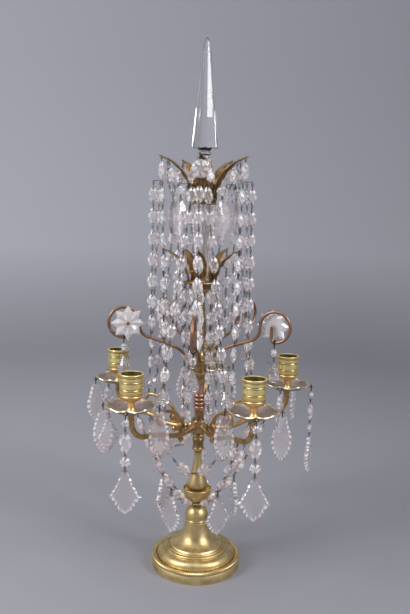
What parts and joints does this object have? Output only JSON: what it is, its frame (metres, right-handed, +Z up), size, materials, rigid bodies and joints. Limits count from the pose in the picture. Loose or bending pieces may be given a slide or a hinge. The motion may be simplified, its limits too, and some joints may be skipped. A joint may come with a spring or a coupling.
{
  "type": "girandole candle holder",
  "caption": "Tall brass girandole on a round foot: scrolled arms with drip pans and candle cups, leaf crowns and a glass spire, hung with strings and plaques of cut glass.",
  "frame": {"origin": "centre of the foot's underside, on the stem's axis at table level", "axes": "+Z up along the stem; the picture looks along +Y; the first candle arm points 18 degrees from +X"},
  "size_m": [0.2906, 0.2769, 0.64],
  "materials": {
    "satin_brass": "satin, slightly olive brass with turning marks",
    "gilt_bronze": "amber gilding worn to brown bronze",
    "coppered_brass": "pinkish copper rings",
    "steel": "plain turned steel",
    "cut_glass": "clear cut glass with a faint mauve tint",
    "dark_wire": "blackened wire",
    "arm_brass": "brown patina with brass on the raised parts",
    "patinated_brass": "grey-mauve patina with a pale worn edge",
    "scroll_bronze": "copper-brown patina"
  },
  "bodies": {
    "stand": {"foot_skirt": "satin_brass", "foot_bell": "satin_brass", "knop": "satin_brass", "bowl": "satin_brass", "baluster": "satin_brass", "arm_hub": "gilt_bronze", "scroll_hub": "gilt_bronze", "upper_column": "gilt_bronze", "lower_crown": "gilt_bronze", "upper_crown": "gilt_bronze", "spire_socket": "gilt_bronze", "stem_sleeve": "coppered_brass", "foot_washer": "steel", "foot_nut": "steel", "tie_rod": "steel", "set_screws": "steel", "glass_vase": "cut_glass", "rosettes": "cut_glass", "crown_drops": "cut_glass", "string_beads": "cut_glass", "swag_beads": "cut_glass", "swag_plaques": "cut_glass", "string_wires": "dark_wire", "swag_wires": "dark_wire", "candle_arm_1": "arm_brass", "candle_arm_2": "arm_brass", "candle_arm_3": "arm_brass", "candle_arm_4": "arm_brass", "candle_arm_5": "arm_brass", "drip_pan_1": "patinated_brass", "drip_pan_2": "patinated_brass", "drip_pan_3": "patinated_brass", "drip_pan_4": "patinated_brass", "drip_pan_5": "patinated_brass", "upper_scroll_1": "scroll_bronze", "upper_scroll_2": "scroll_bronze", "upper_scroll_3": "scroll_bronze", "upper_scroll_4": "scroll_bronze", "upper_scroll_5": "scroll_bronze"},
    "spire": {"spire": "cut_glass"},
    "cup_1": {"candle_cup_1": "satin_brass"},
    "chain_1": {"kite_chain_1": "cut_glass"},
    "side_pair_1": {"side_plaques_1": "cut_glass"},
    "drop_1": {"scroll_drop_1": "cut_glass"},
    "cup_2": {"candle_cup_2": "satin_brass"},
    "chain_2": {"kite_chain_2": "cut_glass"},
    "side_pair_2": {"side_plaques_2": "cut_glass"},
    "drop_2": {"scroll_drop_2": "cut_glass"},
    "cup_3": {"candle_cup_3": "satin_brass"},
    "chain_3": {"kite_chain_3": "cut_glass"},
    "side_pair_3": {"side_plaques_3": "cut_glass"},
    "drop_3": {"scroll_drop_3": "cut_glass"},
    "cup_4": {"candle_cup_4": "satin_brass"},
    "chain_4": {"kite_chain_4": "cut_glass"},
    "side_pair_4": {"side_plaques_4": "cut_glass"},
    "drop_4": {"scroll_drop_4": "cut_glass"},
    "cup_5": {"candle_cup_5": "satin_brass"},
    "chain_5": {"kite_chain_5": "cut_glass"},
    "side_pair_5": {"side_plaques_5": "cut_glass"},
    "drop_5": {"scroll_drop_5": "cut_glass"}
  },
  "joints": [
    {"name": "spire_lift", "type": "slide", "parent": "stand", "child": "spire", "axis": [0, 0, 1], "range_m": [0, 0.03]},
    {"name": "cup_turn_1", "type": "hinge", "parent": "stand", "child": "cup_1", "pos_m": [0.10842, 0.03523, 0.22222], "axis": [0, 0, 1], "continuous": true},
    {"name": "chain_swing_1", "type": "hinge", "parent": "stand", "child": "chain_1", "pos_m": [0.13809, 0.02559, 0.22877], "axis": [0.9511, -0.309, 0], "range_deg": [-40, 40]},
    {"name": "side_swing_1", "type": "hinge", "parent": "stand", "child": "side_pair_1", "pos_m": [0.10842, 0.03523, 0.22877], "axis": [0.309, 0.9511, 0], "range_deg": [-20, 30]},
    {"name": "drop_swing_1", "type": "hinge", "parent": "stand", "child": "drop_1", "pos_m": [0.05466, 0.07524, 0.29269], "axis": [0.5878, 0.809, 0], "range_deg": [-35, 35]},
    {"name": "cup_turn_2", "type": "hinge", "parent": "stand", "child": "cup_2", "pos_m": [0, 0.114, 0.22222], "axis": [0, 0, 1], "continuous": true},
    {"name": "chain_swing_2", "type": "hinge", "parent": "stand", "child": "chain_2", "pos_m": [0, 0.1452, 0.22877], "axis": [0, 1, 0], "range_deg": [-40, 40]},
    {"name": "side_swing_2", "type": "hinge", "parent": "stand", "child": "side_pair_2", "pos_m": [0, 0.114, 0.22877], "axis": [-1, 0, 0], "range_deg": [-20, 30]},
    {"name": "drop_swing_2", "type": "hinge", "parent": "stand", "child": "drop_2", "pos_m": [-0.05466, 0.07524, 0.29269], "axis": [-0.5878, 0.809, 0], "range_deg": [-35, 35]},
    {"name": "cup_turn_3", "type": "hinge", "parent": "stand", "child": "cup_3", "pos_m": [-0.10842, 0.03523, 0.22222], "axis": [0, 0, 1], "continuous": true},
    {"name": "chain_swing_3", "type": "hinge", "parent": "stand", "child": "chain_3", "pos_m": [-0.12676, 0.06047, 0.22877], "axis": [-0.5878, 0.809, 0], "range_deg": [-40, 40]},
    {"name": "side_swing_3", "type": "hinge", "parent": "stand", "child": "side_pair_3", "pos_m": [-0.10842, 0.03523, 0.22877], "axis": [-0.809, -0.5878, 0], "range_deg": [-20, 30]},
    {"name": "drop_swing_3", "type": "hinge", "parent": "stand", "child": "drop_3", "pos_m": [-0.08845, -0.02874, 0.29269], "axis": [-0.9511, -0.309, 0], "range_deg": [-35, 35]},
    {"name": "cup_turn_4", "type": "hinge", "parent": "stand", "child": "cup_4", "pos_m": [-0.06701, -0.09223, 0.22222], "axis": [0, 0, 1], "continuous": true},
    {"name": "chain_swing_4", "type": "hinge", "parent": "stand", "child": "chain_4", "pos_m": [-0.06701, -0.12343, 0.22877], "axis": [0, -1, 0], "range_deg": [-40, 40]},
    {"name": "side_swing_4", "type": "hinge", "parent": "stand", "child": "side_pair_4", "pos_m": [-0.06701, -0.09223, 0.22877], "axis": [1, 0, 0], "range_deg": [-20, 30]},
    {"name": "drop_swing_4", "type": "hinge", "parent": "stand", "child": "drop_4", "pos_m": [0, -0.093, 0.29269], "axis": [0, -1, 0], "range_deg": [-35, 35]},
    {"name": "cup_turn_5", "type": "hinge", "parent": "stand", "child": "cup_5", "pos_m": [0.06701, -0.09223, 0.22222], "axis": [0, 0, 1], "continuous": true},
    {"name": "chain_swing_5", "type": "hinge", "parent": "stand", "child": "chain_5", "pos_m": [0.07027, -0.12326, 0.22877], "axis": [0.1045, -0.9945, 0], "range_deg": [-40, 40]},
    {"name": "side_swing_5", "type": "hinge", "parent": "stand", "child": "side_pair_5", "pos_m": [0.06701, -0.09223, 0.22877], "axis": [0.9945, 0.1045, 0], "range_deg": [-20, 30]},
    {"name": "drop_swing_5", "type": "hinge", "parent": "stand", "child": "drop_5", "pos_m": [0.08845, -0.02874, 0.29269], "axis": [0.9511, -0.309, 0], "range_deg": [-35, 35]}
  ]
}
